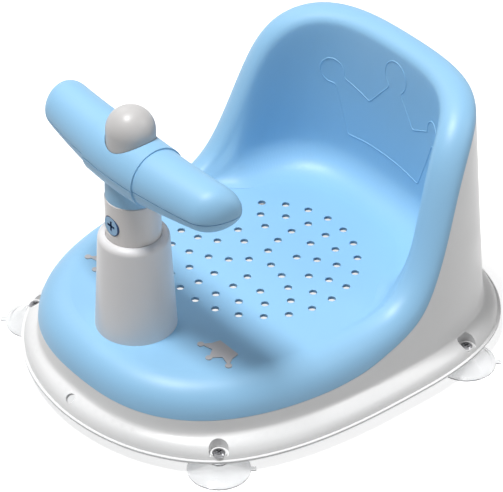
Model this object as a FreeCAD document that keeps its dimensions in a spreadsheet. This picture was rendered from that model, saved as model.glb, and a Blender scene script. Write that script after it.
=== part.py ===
import FreeCAD, Part
import functools
import math
import os

import Sketcher

# Baby bath seat: a blue seat shell on a white skirt with four suction cups,
# and a lift-out guard bar with a spinning bead on a post at the front.
# Frame: origin on the ground below the middle of the skirt, +Y towards the
# backrest, +X to the right seen from the front, +Z up, millimetres.

Vector = FreeCAD.Vector

SIZES = {
    # Plan of the skirt
    "flange_length": 375,
    "flange_width": 305,
    "widest_back": 24,
    "front_power": 2.6,
    "back_power": 3.1,
    # Skirt section
    "flange_low": 10,
    "flange_edge": 1.8,
    "flange_lip": 2.0,
    "slope_width": 16,
    "wall_foot": 25,
    "wall_lean": 0.068,
    "skirt_wall": 2.5,
    "tongue_wall": 1.2,
    "tongue_share": 0.1,
    # Seat shell
    "seat_wall": 2.6,
    "floor_top": 63,
    "rim_top": 210,
    "lip_front": 37.5,
    "lip_back": 202,
    "rim_half": 12.5,
    "roll_half": 24,
    "foot_inset": 50,
    "foot_radius": 25,
    "front_flat_inset": 46,
    "flat_margin": 3,
    "wall_fade": 45,
    # Drain holes
    "drain_centre": 8.5,
    "drain_radius": 3.1,
    "drain_pitch": 15.65,
    "drain_inner": 10.7,
    # Suction cups and their screws, turns in degrees from the right
    "front_cup_turn": -52.89,
    "front_cup_inset": 6.69,
    "back_cup_turn": 28.27,
    "back_cup_inset": 9.94,
    "cup_radius": 23.8,
    "cup_wall": 1.6,
    "cup_crown": 8.5,
    "cup_stem_radius": 7,
    "cup_tab_reach": 4,
    "cup_tab_width": 4.4,
    "recess_radius": 7.5,
    "recess_floor": 14.6,
    "front_recess_top": 23.5,
    "back_recess_top": 24,
    "recess_wall": 0.8,
    "screw_seat_radius": 6.2,
    "screw_seat_tall": 1.4,
    "cup_screw_head": 4.7,
    "cup_screw_head_tall": 2.2,
    "cup_screw_radius": 2,
    "cup_screw_length": 9.5,
    "cup_nut_radius": 4,
    "cup_nut_tall": 3,
    "cup_nut_low": 6.4,
    "front_hole_setback": 9.5,
    "front_hole_tilt": 35,
    "front_hole_radius": 3.9,
    # Post
    "post_setback": 72.7,
    "post_foot_radius": 31.1,
    "post_top_radius": 27,
    "post_drop": 63.6,
    "post_lip_round": 5,
    "post_wall": 2.5,
    "socket_floor": 100,
    "key_width": 4,
    "key_tall": 4,
    "key_length": 41,
    "post_boss_ring": 17,
    "post_boss_radius": 4.5,
    # Collar and lock screw
    "collar_radius": 20.8,
    "collar_bore": 16.5,
    "collar_drop": 29.7,
    "lock_drop": 19.8,
    "lock_head_radius": 8.2,
    "lock_head_tall": 2.7,
    "lock_face": 20.4,
    "lock_shank_radius": 4,
    "lock_shank_length": 12,
    "lock_slot_width": 2,
    "lock_slot_length": 8.4,
    "lock_slot_deep": 1.4,
    # Guard bar
    "bar_height": 209.9,
    "bar_half": 101.8,
    "bar_sweep": 8.8,
    "hub_half": 29,
    "hub_radius": 24.6,
    "hub_end_radius": 24,
    "grip_root_radius": 22.7,
    "grip_end_radius": 19.2,
    "grip_cap": 18,
    "grip_tip_back": 0.35,
    "grip_power": 2.3,
    "grip_under": 0.72,
    "bar_wall": 2.6,
    "parting_drop": 1.5,
    "groove_tall": 0.7,
    "groove_deep": 0.5,
    "spigot_length": 6.8,
    "neck_radius": 20.2,
    "neck_wall": 2.6,
    "neck_drop": 34.2,
    # Bead
    "bead_radius": 18.3,
    "bead_skirt": 18.5,
    "bead_rise": 27.3,
    "bead_wall": 2.4,
    "well_rise": 11.1,
    "well_plate": 2.5,
    "spindle_radius": 3,
    "spindle_head": 5.5,
    "spindle_head_tall": 2.4,
    "spindle_tall": 26,
    "bead_boss_radius": 6,
    "running_gap": 0.08,
    # Small screws
    "screw_radius": 1.5,
    "screw_head_radius": 3,
    "screw_head_tall": 1.8,
    "post_screw_length": 14,
    "seat_screw_length": 10,
    "guard_screw_length": 12,
    "boss_radius": 4,
    "ear_reach": 34,
    "ear_margin": 8,
    "ear_width": 26,
    "ear_front_top": 33,
    "ear_back_top": 53,
    "guard_screw_grip_x": 62,
    "guard_screw_hub_x": 10.2,
    # Crown pads
    "crown_x": 70,
    "crown_behind_post": 33.3,
    "crown_long": 22.5,
    "crown_width": 25,
    "crown_ball": 2.6,
    "crown_tall": 0.8,
    # Clearances
    "fit_gap": 0.3,
    "thread_gap": 0.05,
    "overrun": 5,
}

# Places that follow other sizes
PLACES = {
    "post_y": "post_setback - flange_length / 2",
    "front_hole_y": "front_hole_setback - flange_length / 2",
    "crown_base_y": "post_setback - flange_length / 2 + crown_behind_post",
    "crown_tip_y": "post_setback - flange_length / 2 + crown_behind_post - crown_long",
    "post_top": "bar_height - post_drop",
    "collar_top": "bar_height - collar_drop",
    "neck_low": "bar_height - collar_drop - neck_drop",
    "lock_height": "bar_height - collar_drop - lock_drop",
    "bead_centre": "bar_height + bead_rise",
    "well_floor": "bar_height + well_rise",
    "spindle_top": "bar_height + well_rise + spindle_tall",
}

# Rim along the side, front to back: turn as a share of a quarter turn from
# the side, then crest height, lip height and extra roll width as shares.
RIM_SHARES = [
    (-1.0, 0.000, 0.000, 1.00),
    (-0.5, 0.000, 0.000, 1.00),
    (-0.28, 0.001, 0.002, 0.95),
    (-0.13, 0.010, 0.018, 0.83),
    (-0.03, 0.026, 0.052, 0.65),
    (0.055, 0.054, 0.091, 0.48),
    (0.122, 0.109, 0.134, 0.30),
    (0.178, 0.194, 0.207, 0.17),
    (0.222, 0.316, 0.313, 0.09),
    (0.267, 0.476, 0.444, 0.04),
    (0.311, 0.639, 0.605, 0.00),
    (0.356, 0.769, 0.730, 0.00),
    (0.411, 0.857, 0.839, 0.00),
    (0.478, 0.920, 0.912, 0.00),
    (0.556, 0.961, 0.957, 0.00),
    (0.667, 0.986, 0.988, 0.00),
    (0.833, 0.997, 0.998, 0.00),
    (1.0, 1.000, 1.000, 0.00),
]

# Convex slope of the flange: inset and height as shares of the slope
SLOPE_SHARES = [
    (0.00, 0.00),
    (0.02, 0.14),
    (0.10, 0.33),
    (0.25, 0.54),
    (0.45, 0.70),
    (0.66, 0.80),
    (0.84, 0.88),
    (0.96, 0.97),
    (1.00, 1.12),
]

# Flange edge along the side, front to back: turn as a share of a quarter turn
# from the side, then how far the edge stands back as a share of the slope
FLANGE_SHARES = [
    (-1.0, 0.08),
    (-0.91, 0.175),
    (-0.80, 0.27),
    (-0.72, 0.25),
    (-0.64, 0.125),
    (-0.55, 0.00),
    (0.10, 0.00),
    (0.33, 0.09),
    (0.46, 0.14),
    (0.58, 0.21),
    (0.78, 0.18),
    (1.0, 0.08),
]

# Drain rings: number of holes and the phase in shares of one turn
DRAIN_RINGS = [
    (3, -0.008),
    (6, -0.017),
    (12, 0.050),
    (18, 0.006),
    (24, 0.017),
]

# Crown outline: half width and depth from base to tip as shares
CROWN_SHARES = [
    (0.42, 0.00),
    (0.48, 0.30),
    (0.66, 0.62),
    (0.24, 0.50),
    (0.00, 0.86),
]

STATIONS = 72
BAR_STATIONS = 24
GRIP_TIP_SHARE = 0.04
GRIP_LENGTH_SHARES = [0, 0.35, 0.7, 1]
HUB_SHARES = [-1, -0.5, 0, 0.5, 1]
GRIP_ROUND_SHARES = [0.25, 0.5, 0.7, 0.84, 0.93, 0.98, 1]
FOOT_STEPS = 5
WALL_STEPS = 5
RIM_STEPS = 5
ROLL_STEPS = 8
SKIRT_STEPS = 7
CORNER_STEPS = 6

doc = FreeCAD.newDocument("BathSeat")
sheet = doc.addObject("Spreadsheet::Sheet", "Sizes")
entries = [(alias, str(amount)) for alias, amount in SIZES.items()]
entries += [(alias, "=" + expression) for alias, expression in PLACES.items()]
for row_number, (alias, content) in enumerate(entries, start=1):
    cell = "B{}".format(row_number)
    sheet.set("A{}".format(row_number), alias)
    sheet.set(cell, content)
    sheet.setAlias(cell, alias)
doc.recompute()

PARTS = {}


@functools.lru_cache(maxsize=None)
def size(expression):
    """Value of an expression in the sheet's aliases."""
    return float(sheet.evalExpression(expression))


def bind(item, **expressions):
    """Bind properties to expressions in the sheet's aliases."""
    for name, expression in expressions.items():
        item.setExpression(name.replace("_", "."), linked(expression))


def linked(expression):
    """The expression with each alias written as a cell of the sheet."""
    words = []
    word = ""
    for letter in expression + " ":
        if letter.isalnum() or letter in "_.":
            word += letter
            continue
        words.append("Sizes." + word if word in SIZES or word in PLACES else word)
        words.append(letter)
        word = ""
    return "".join(words).strip()


def place(item, x="0", y="0", z="0"):
    """Bind an object's position."""
    for axis, expression in (("x", x), ("y", y), ("z", z)):
        item.setExpression("Placement.Base." + axis, linked(expression))


def cylinder(name, radius, height, x="0", y="0", z="0"):
    """An upright cylinder."""
    item = doc.addObject("Part::Cylinder", name)
    bind(item, Radius=radius, Height=height)
    place(item, x, y, z)
    return item


def box(name, length, width, height, x="0", y="0", z="0"):
    """A box centred on x and y that stands on z."""
    item = doc.addObject("Part::Box", name)
    bind(item, Length=length, Width=width, Height=height)
    place(item, "{} - ({}) / 2".format(x, length), "{} - ({}) / 2".format(y, width), z)
    return item


def fuse(name, items):
    """Union of several objects."""
    item = doc.addObject("Part::MultiFuse", name)
    item.Shapes = items
    return item


def cut(name, base, tools):
    """Difference of a base and one or more tools."""
    item = doc.addObject("Part::Cut", name)
    item.Base = base
    item.Tool = tools[0] if len(tools) == 1 else fuse(name + "_tools", tools)
    return item


def keep(item, label):
    """Name an object as a sub-part of the product."""
    item.Label = label
    PARTS[label] = item
    return item


def rounded_corner(radius, top, rounding):
    """Corners of an outer edge that is rounded in even steps, from below to the top."""
    corners = []
    for step in range(CORNER_STEPS + 1):
        turn = math.pi / 2 * step / CORNER_STEPS
        corners.append((
            "{} - {} * {:.6f}".format(radius, rounding, 1 - math.cos(turn)),
            "{} - {} * {:.6f}".format(top, rounding, 1 - math.sin(turn))))
    return corners


def plane_of(body, role):
    """One of a body's own origin planes."""
    return [item for item in body.Origin.OriginFeatures if item.Role == role][0]


def sketch_on(body, role, name):
    """An empty sketch on one of the body's origin planes."""
    sketch = body.newObject("Sketcher::SketchObject", name)
    sketch.AttachmentSupport = [(plane_of(body, role), "")]
    sketch.MapMode = "FlatFace"
    return sketch


def pin_point(sketch, edge, across, along):
    """Fix the start point of an edge at two sheet expressions."""
    for kind, axis, expression in (("DistanceX", -2, across), ("DistanceY", -1, along)):
        if abs(size(expression)) == 0:
            sketch.addConstraint(Sketcher.Constraint("PointOnObject", edge, 1, axis))
            continue
        number = sketch.addConstraint(
            Sketcher.Constraint(kind, -1, 1, edge, 1, size(expression)))
        sketch.setExpression("Constraints[{}]".format(number), linked(expression))


def closed_outline(sketch, corners):
    """Straight outline through corners given as pairs of expressions."""
    points = [Vector(size(across), size(along), 0) for across, along in corners]
    count = len(points)
    for number in range(count):
        sketch.addGeometry(
            Part.LineSegment(points[number], points[(number + 1) % count]), False)
    for number in range(count):
        sketch.addConstraint(
            Sketcher.Constraint("Coincident", number, 2, (number + 1) % count, 1))
    for number, (across, along) in enumerate(corners):
        pin_point(sketch, number, across, along)


def turned_body(name, corners, x="0", y="0", z="0"):
    """A body turned about its own upright axis from radius and height pairs."""
    body = doc.addObject("PartDesign::Body", name)
    sketch = sketch_on(body, "XZ_Plane", name + "_profile")
    closed_outline(sketch, corners)
    turn = body.newObject("PartDesign::Revolution", name + "_turned")
    turn.Profile = sketch
    turn.ReferenceAxis = (sketch, ["V_Axis"])
    turn.Angle = 360
    body.Tip = turn
    place(body, x, y, z)
    return body


def plan_point(angle, inset, height):
    """Point of the plan outline, moved in from the flange edge."""
    side = math.cos(angle)
    ahead = math.sin(angle)
    half_width = size("flange_width / 2") - inset
    reach = size("flange_length / 2 - widest_back") - inset
    power = size("back_power")
    if ahead < 0:
        reach = size("flange_length / 2 + widest_back") - inset
        power = size("front_power")
    spread = abs(side / half_width) ** power + abs(ahead / reach) ** power
    radius = spread ** (-1 / power)
    return Vector(radius * side, size("widest_back") + radius * ahead, height)


def eased(table, place_share, column):
    """Monotone smooth reading of one column of a table of shares."""
    last = len(table) - 1
    slopes = [
        (table[row + 1][column] - table[row][column])
        / (table[row + 1][0] - table[row][0]) for row in range(last)]
    ends = [0.0]
    for row in range(1, last):
        before = slopes[row - 1]
        after = slopes[row]
        ends.append(2 * before * after / (before + after) if before * after > 0 else 0.0)
    ends.append(0.0)
    row = 0
    while row < last - 1 and place_share > table[row + 1][0]:
        row += 1
    gap = table[row + 1][0] - table[row][0]
    part = (place_share - table[row][0]) / gap
    square = part * part
    cube = square * part
    return (
        (2 * cube - 3 * square + 1) * table[row][column]
        + (cube - 2 * square + part) * gap * ends[row]
        + (3 * square - 2 * cube) * table[row + 1][column]
        + (cube - square) * gap * ends[row + 1])


def blend(first, second, part):
    """Straight blend of two numbers."""
    return first + (second - first) * part


def wall_inset(height):
    """Inset of the skirt's outer wall at a height."""
    return size("slope_width") + size("wall_lean") * (height - size("wall_foot"))


def side_share(angle):
    """Angle as a share of a quarter turn from the nearer side, minus one in front."""
    return math.atan2(math.sin(angle), abs(math.cos(angle))) / (math.pi / 2)


def edge_inset(angle):
    """Inset of the flange's edge at an angle."""
    return size("slope_width") * eased(FLANGE_SHARES, side_share(angle), 1)


def rim_at(angle):
    """Crest height, lip height, roll half width and lip inset at an angle."""
    turn = side_share(angle)
    crest = blend(size("floor_top"), size("rim_top"), eased(RIM_SHARES, turn, 1))
    lip = blend(size("lip_front"), size("lip_back"), eased(RIM_SHARES, turn, 2))
    half = blend(size("rim_half"), size("roll_half"), eased(RIM_SHARES, turn, 3))
    return crest, lip, half, wall_inset(lip)


def seat_section(angle):
    """Upper skin of the seat from the flat floor to the lip, inset and height."""
    floor = size("floor_top")
    crest, lip, half, edge = rim_at(angle)
    rise = crest - floor
    walled = 1 - math.exp(-rise / size("wall_fade"))
    foot = size("foot_inset")
    fillet = size("foot_radius")
    flat = blend(size("front_flat_inset"), foot + fillet, walled)
    crest_inset = edge + half
    drop = crest - lip
    squeeze = min(1.0, rise / (fillet + drop))
    walled_side = []
    for step in range(FOOT_STEPS):
        turn = math.pi / 2 * step / FOOT_STEPS
        walled_side.append((
            foot + fillet * (1 - math.sin(turn)),
            floor + fillet * squeeze * (1 - math.cos(turn))))
    for step in range(WALL_STEPS):
        part = step / WALL_STEPS
        walled_side.append((
            blend(foot, edge + 2 * half, part),
            blend(floor + fillet * squeeze, crest - drop * squeeze, part)))
    for step in range(RIM_STEPS + 1):
        turn = math.pi / 2 * step / RIM_STEPS
        walled_side.append((
            crest_inset + half * math.cos(turn),
            crest - drop * squeeze * (1 - math.sin(turn))))
    count = len(walled_side) - 1
    section = [(flat + size("flat_margin"), floor)]
    for step, (inset, height) in enumerate(walled_side):
        part = step / count
        open_height = floor + rise * part * part * (3 - 2 * part)
        section.append((
            blend(blend(flat, crest_inset, part), inset, walled),
            blend(open_height, height, walled)))
    for step in range(1, ROLL_STEPS + 1):
        turn = math.pi / 2 * step / ROLL_STEPS
        section.append((
            crest_inset - half * math.sin(turn), lip + drop * math.cos(turn)))
    return section


def skirt_section(angle):
    """Outer skin of the skirt from the flange's lip up to the shoulder."""
    crest, lip, half, edge = rim_at(angle)
    top = lip - size("fit_gap")
    low = size("flange_low + flange_edge")
    foot = size("wall_foot")
    width = size("slope_width")
    start_in = edge_inset(angle) + size("flange_lip")
    section = [
        (blend(start_in, width, share_in), blend(low, foot, share_up))
        for share_in, share_up in SLOPE_SHARES]
    start = section[-1][1]
    section[-1] = (wall_inset(start), start)
    for step in range(1, SKIRT_STEPS + 1):
        height = blend(start, top, step / SKIRT_STEPS)
        section.append((wall_inset(height), height))
    return section


def net_of(section_at):
    """Rows of points round the seat, one row for each point of the section."""
    angles = [2 * math.pi * station / STATIONS for station in range(STATIONS)]
    columns = [
        [plan_point(angle, inset, height) for inset, height in section_at(angle)]
        for angle in angles]
    return [list(row) for row in zip(*columns)]


def inner_net(rows, walls):
    """Net moved inwards by a wall thickness for each row."""
    moved = []
    last = len(rows) - 1
    for number, row in enumerate(rows):
        before = rows[max(number - 1, 0)]
        after = rows[min(number + 1, last)]
        line = []
        for station in range(STATIONS):
            round_way = row[(station + 1) % STATIONS] - row[station - 1]
            up_way = after[station] - before[station]
            normal = round_way.cross(up_way)
            normal.normalize()
            line.append(row[station] + normal * walls[number])
        moved.append(line)
    return moved


def ring_row(inset_at, height_at):
    """One row of points round the seat."""
    row = []
    for station in range(STATIONS):
        angle = 2 * math.pi * station / STATIONS
        row.append(plan_point(angle, inset_at(angle), height_at(angle)))
    return row


def ring_face(rows, smooth):
    """Closed band through rows of control points."""
    count = len(rows)
    stations = len(rows[0])
    degree = 3 if smooth else 1
    knots = list(range(count - degree + 1))
    mults = [degree + 1] + [1] * (len(knots) - 2) + [degree + 1]
    poles = [[rows[row][station] for row in range(count)] for station in range(stations)]
    surface = Part.BSplineSurface()
    surface.buildFromPolesMultsKnots(
        poles, [1] * (stations + 1), mults, list(range(stations + 1)), knots,
        True, False, 3, degree)
    return surface.toShape()


def band_faces(rows):
    """Straight closed bands between one row of control points and the next."""
    return [ring_face([low, high], False) for low, high in zip(rows, rows[1:])]


def disc_face(row):
    """Flat face inside the closed curve of one row of control points."""
    stations = len(row)
    curve = Part.BSplineCurve()
    curve.buildFromPolesMultsKnots(
        row, [1] * (stations + 1), list(range(stations + 1)), True, 3)
    return Part.Face(Part.Wire([curve.toShape()]))


def solid_of(faces):
    """Solid inside a closed set of faces."""
    shell = Part.makeShell(faces)
    shell.sewShape()
    solid = Part.makeSolid(shell)
    if solid.Volume < 0:
        solid.reverse()
    return solid


def cylinder_shape(radius, low, high, x, y):
    """Plain upright cylinder shape between two heights."""
    return Part.makeCylinder(radius, high - low, Vector(x, y, low))


def screw_shape(x, y, low, length, upward):
    """Pan-head screw, its head at the low end when it points upward."""
    head_tall = size("screw_head_tall")
    head = Part.makeCylinder(size("screw_head_radius"), head_tall)
    shank = Part.makeCylinder(size("screw_radius"), length, Vector(0, 0, head_tall))
    slot_deep = head_tall / 2
    slot = Part.makeBox(
        size("screw_head_radius"), size("screw_radius / 2"), slot_deep,
        Vector(-size("screw_head_radius / 2"), -size("screw_radius / 4"), 0))
    crossing = slot.copy()
    crossing.rotate(Vector(0, 0, 0), Vector(0, 0, 1), 90)
    screw = head.fuse(shank).removeSplitter().cut(slot.fuse(crossing))
    if not upward:
        screw.rotate(Vector(0, 0, 0), Vector(1, 0, 0), 180)
    screw.translate(Vector(x, y, low))
    return screw


def shaped(name, shape):
    """Feature that holds a shape worked out from the sheet."""
    item = doc.addObject("Part::Feature", name)
    item.Shape = shape
    return item


# Places shared by several sub-parts
CUP_TAB_TURNS = {
    "front_right": 50,
    "front_left": 228,
    "back_right": 50,
    "back_left": 130,
}
EARS = [
    (math.radians(degrees), top) for degrees, top in (
        (-42, "ear_front_top"), (32, "ear_back_top"), (148, "ear_back_top"),
        (222, "ear_front_top"))]
EAR_SPREAD_SHARES = [-1, -0.5, 0, 0.5, 1]
POST_TURNS = [math.radians(degrees) for degrees in (30, 150, 270)]


def cup_places():
    """Centre of each suction cup on the ground, by its name."""
    places = {}
    for end in ("front", "back"):
        turn = math.radians(size(end + "_cup_turn"))
        right = plan_point(turn, size(end + "_cup_inset"), 0)
        places[end + "_right"] = right
        places[end + "_left"] = Vector(-right.x, right.y, 0)
    return places


def ear_inset(height):
    """Inset of the screw in an ear at a height."""
    return wall_inset(height) + size("skirt_wall + ear_reach - ear_margin")


def ear_places():
    """Centre of the screw in each ear inside the skirt, and the ear's turn."""
    return [(plan_point(turn, ear_inset(size(top)), size(top)), turn) for turn, top in EARS]


def ear_shape(turn, height):
    """Flat ear that follows the skirt's wall and points inwards."""
    wall = size("skirt_wall")
    root = wall_inset(height) + wall / 2
    tip = wall_inset(height) + wall + size("ear_reach")
    middle = plan_point(turn, root, height)
    spread = size("ear_width / 2") / middle.sub(Vector(0, size("widest_back"), height)).Length
    turns = [turn + spread * share for share in EAR_SPREAD_SHARES]
    corners = [plan_point(where, root, height) for where in turns]
    corners += [plan_point(where, tip, height) for where in reversed(turns)]
    corners.append(corners[0])
    return Part.Face(Part.makePolygon(corners)).extrude(Vector(0, 0, -wall))


def skin_height(turn, inset):
    """Height of the seat's upper skin above a point of the plan."""
    section = seat_section(turn)
    for (outer_in, outer_up), (inner_in, inner_up) in zip(section[1:], section):
        if outer_in <= inset <= inner_in:
            part = (inset - outer_in) / (inner_in - outer_in)
            return blend(outer_up, inner_up, part)
    return size("floor_top")


def make_seat_shell():
    """Blue seat: floor with drain holes, rolled rim, tall backrest, bosses."""
    rows = net_of(seat_section)
    wall = size("seat_wall")
    under = inner_net(rows, [wall] * len(rows))
    under[-1] = ring_row(
        lambda angle: rim_at(angle)[3] + wall, lambda angle: rim_at(angle)[1])
    floor = size("floor_top")
    for row in under[:2]:
        for point in row:
            point.z = floor - wall
    faces = [
        ring_face(rows, True),
        ring_face([rows[-1], under[-1]], False),
        ring_face(under, True),
        disc_face(rows[0]),
        disc_face(under[0]),
    ]
    shell = solid_of(faces)
    bosses = []
    holes = []
    for middle, turn in ear_places():
        bosses.append(cylinder_shape(
            size("boss_radius"), middle.z + size("fit_gap"),
            skin_height(turn, ear_inset(middle.z) + size("boss_radius")) - wall / 2,
            middle.x, middle.y))
        holes.append(cylinder_shape(
            size("screw_radius + thread_gap"), middle.z, middle.z + size("seat_screw_length"),
            middle.x, middle.y))
    for radius, turn in post_screw_places():
        holes.append(cylinder_shape(
            size("screw_radius + thread_gap"), floor - wall * 2, floor + wall,
            radius * math.cos(turn), size("post_y") + radius * math.sin(turn)))
    for ring, (count, phase_share) in enumerate(DRAIN_RINGS):
        reach = size("drain_inner") + ring * size("drain_pitch")
        for number in range(count):
            turn = 2 * math.pi * (number / count + phase_share)
            holes.append(cylinder_shape(
                size("drain_radius"), floor - wall * 2, floor + wall,
                reach * math.cos(turn), size("drain_centre") + reach * math.sin(turn)))
    shape = shell.fuse(bosses).cut(Part.makeCompound(holes))
    return keep(shaped("SeatShell", shape), "seat_shell")


def post_screw_places():
    """Radius and turn of each screw under the post."""
    return [(size("post_boss_ring"), turn) for turn in POST_TURNS]


def make_base_shell():
    """White skirt: flange, screw recesses, wall and the tongue inside the lip."""
    rows = net_of(skirt_section)
    wall = size("skirt_wall")
    tongue = size("seat_wall + fit_gap * 2")
    thick = tongue + size("tongue_wall")
    count = len(rows)
    walls = [-blend(wall, thick, max(0.0, (row - count / 2) / (count / 2 - 1)))
             for row in range(count)]
    inside = inner_net(rows, walls)
    low = size("flange_low")

    def shoulder(angle):
        return rim_at(angle)[1] - size("fit_gap")

    def tongue_top(angle):
        crest, lip, half, edge = rim_at(angle)
        return lip + (crest - lip) * size("tongue_share")

    def inset_of(extra):
        return lambda angle: wall_inset(shoulder(angle)) + extra

    def inside_foot(angle):
        return edge_inset(angle) + size("flange_lip") + wall

    foot = ring_row(edge_inset, lambda angle: low)
    lip = ring_row(edge_inset, lambda angle: size("flange_low + flange_edge"))
    foot_inside = ring_row(inside_foot, lambda angle: low)
    rib_low = ring_row(inset_of(tongue), shoulder)
    rib_outer = ring_row(inset_of(tongue), tongue_top)
    rib_inner = ring_row(inset_of(thick), tongue_top)
    inside[-1] = ring_row(inset_of(thick), shoulder)
    inside[0] = ring_row(inside_foot, lambda angle: size("flange_low + flange_edge / 2"))
    faces = [ring_face(rows, True), ring_face(inside, True)]
    faces += band_faces([rows[-1], rib_low, rib_outer, rib_inner, inside[-1]])
    faces += band_faces([inside[0], foot_inside, foot, lip, rows[0]])
    shape = solid_of(faces)
    cups = []
    recesses = []
    block = slope_block()
    floor = size("recess_floor")
    seat_bore = size("cup_screw_head + fit_gap")
    for word, (x, y, ground) in cup_places().items():
        roof = size(word.split("_")[0] + "_recess_top")
        cups.append(cylinder_shape(
            size("recess_radius + recess_wall"), low, size("wall_foot"), x, y).common(block))
        pocket = cylinder_shape(size("recess_radius"), floor, roof, x, y)
        ring = cylinder_shape(
            size("screw_seat_radius"), floor, floor + size("screw_seat_tall"), x, y)
        ring = ring.cut(cylinder_shape(seat_bore, floor, roof, x, y))
        recesses.append(pocket.cut(ring))
        recesses.append(cylinder_shape(
            size("cup_screw_radius + thread_gap"), low, floor + wall, x, y))
    ears = []
    for middle, turn in ear_places():
        ears.append(ear_shape(turn, middle.z))
        recesses.append(cylinder_shape(
            size("screw_radius + fit_gap"), middle.z - wall * 2, middle.z + wall,
            middle.x, middle.y))
    tilt = math.radians(size("front_hole_tilt"))
    outward = Vector(0, -math.sin(tilt), math.cos(tilt))
    middle = Vector(0, size("front_hole_y"), size("wall_foot - overrun"))
    reach = size("overrun * 2")
    recesses.append(Part.makeCylinder(
        size("front_hole_radius"), reach * 2, middle - outward * reach, outward))
    shape = shape.fuse(cups + ears).cut(Part.makeCompound(recesses))
    return keep(shaped("BaseShell", shape), "base_shell")


def slope_block():
    """Solid just inside the flange's outer skin, which trims the screw recesses."""
    gap = size("fit_gap")
    count = len(SLOPE_SHARES)
    rows = net_of(lambda angle: [
        (inset + gap, height - gap) for inset, height in skirt_section(angle)[:count]])
    foot = ring_row(
        lambda angle: edge_inset(angle) + gap, lambda angle: size("flange_low") + gap)
    faces = [ring_face([foot, rows[0]], False), ring_face(rows, True)]
    return solid_of(faces + [disc_face(foot), disc_face(rows[-1])])


def make_post_cone():
    """White post with the socket for the collar, open below around three bosses."""
    outside = turned_body("PostOutside", [
        ("0", "floor_top"),
        ("post_foot_radius", "floor_top"),
    ] + rounded_corner("post_top_radius", "post_top", "post_lip_round") + [
        ("collar_radius + fit_gap", "post_top"),
        ("collar_radius + fit_gap", "socket_floor"),
        ("0", "socket_floor"),
    ], y="post_y")
    hollow = turned_body("PostHollow", [
        ("0", "floor_top - overrun"),
        ("post_foot_radius - post_wall", "floor_top - overrun"),
        ("post_foot_radius - post_wall", "floor_top"),
        ("collar_radius + fit_gap + post_wall / 2", "socket_floor - post_wall"),
        ("0", "socket_floor - post_wall"),
    ], y="post_y")
    shell = cut("PostShell", outside, [hollow])
    bosses = []
    pilots = []
    for number, (radius, turn) in enumerate(post_screw_places()):
        x = "post_boss_ring * {:.6f}".format(math.cos(turn))
        y = "post_y + post_boss_ring * ({:.6f})".format(math.sin(turn))
        bosses.append(cylinder(
            "PostBoss{}".format(number), "post_boss_radius",
            "socket_floor - post_wall / 2 - floor_top", x, y, "floor_top"))
        pilots.append(cylinder(
            "PostPilot{}".format(number), "screw_radius + thread_gap",
            "post_screw_length + overrun", x, y, "floor_top - overrun"))
    key = box("PostKey", "key_length", "key_width", "key_tall", y="post_y", z="socket_floor")
    whole = fuse("PostWhole", [shell, key] + bosses)
    return keep(cut("PostCone", whole, pilots), "post_cone")


def make_post_collar():
    """Grey collar that carries the guard and slides in the post's socket."""
    tube = turned_body("CollarTube", [
        ("collar_bore", "socket_floor + fit_gap"),
        ("collar_radius", "socket_floor + fit_gap"),
        ("collar_radius", "collar_top - post_wall / 4"),
        ("collar_radius - post_wall / 4", "collar_top"),
        ("collar_bore", "collar_top"),
    ], y="post_y")
    notch = box(
        "CollarNotch", "collar_radius * 2 + overrun", "key_width + fit_gap * 2",
        "key_tall + fit_gap", y="post_y", z="socket_floor + fit_gap")
    seat = cylinder("CollarSeat", "lock_head_radius + fit_gap", "overrun * 2")
    through = cylinder(
        "CollarThrough", "lock_shank_radius + fit_gap", "collar_radius + overrun")
    for tool, depth in ((seat, "lock_face - lock_head_tall"), (through, "0")):
        tool.Placement.Rotation = FreeCAD.Rotation(Vector(1, 0, 0), 90)
        place(tool, "0", "post_y - ({})".format(depth), "lock_height")
    return keep(cut("PostCollar", tube, [notch, seat, through]), "post_collar")


def make_lock_screw():
    """Blue lock screw with a cross slot, facing the front."""
    body = turned_body("LockScrewBody", [
        ("0", "lock_face - lock_head_tall - lock_shank_length"),
        ("lock_shank_radius", "lock_face - lock_head_tall - lock_shank_length"),
        ("lock_shank_radius", "lock_face - lock_head_tall"),
        ("lock_head_radius", "lock_face - lock_head_tall"),
        ("lock_head_radius", "lock_face - lock_head_tall / 4"),
        ("lock_head_radius - lock_head_tall / 4", "lock_face"),
        ("0", "lock_face"),
    ])
    slots = [
        box("LockSlotAcross", "lock_slot_length", "lock_slot_width", "overrun",
            z="lock_face - lock_slot_deep"),
        box("LockSlotAlong", "lock_slot_width", "lock_slot_length", "overrun",
            z="lock_face - lock_slot_deep"),
    ]
    screw = cut("LockScrew", body, slots)
    screw.Placement.Rotation = FreeCAD.Rotation(Vector(1, 0, 0), 90)
    place(screw, "0", "post_y", "lock_height")
    return keep(screw, "lock_screw")


def bar_centre(x):
    """Centre of the guard bar's section, swept back towards its ends."""
    share = x / size("bar_half")
    return Vector(x, size("post_y") + size("bar_sweep") * share * share, size("bar_height"))


def bar_solid(sections):
    """Round bar through x, radius, the underside's fullness and a step to the back."""
    slice_turn = 2 * math.pi / BAR_STATIONS
    fullness = 3 / (2 + math.cos(slice_turn))
    rows = []
    for x, radius, under, back in sections:
        centre = bar_centre(x) + Vector(0, back, 0)
        row = []
        for station in range(BAR_STATIONS):
            across = radius * fullness * math.cos(slice_turn * station)
            along = radius * fullness * math.sin(slice_turn * station)
            row.append(centre + Vector(0, across, along if along > 0 else along * under))
        rows.append(row)
    return solid_of([ring_face(rows, True), disc_face(rows[0]), disc_face(rows[-1])])


def cross_cylinder(radius, start, end):
    """Cylinder along the bar between two distances from the middle."""
    centre = bar_centre(size("hub_half"))
    return Part.makeCylinder(
        radius, end - start, Vector(start, centre.y, centre.z), Vector(1, 0, 0))


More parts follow.
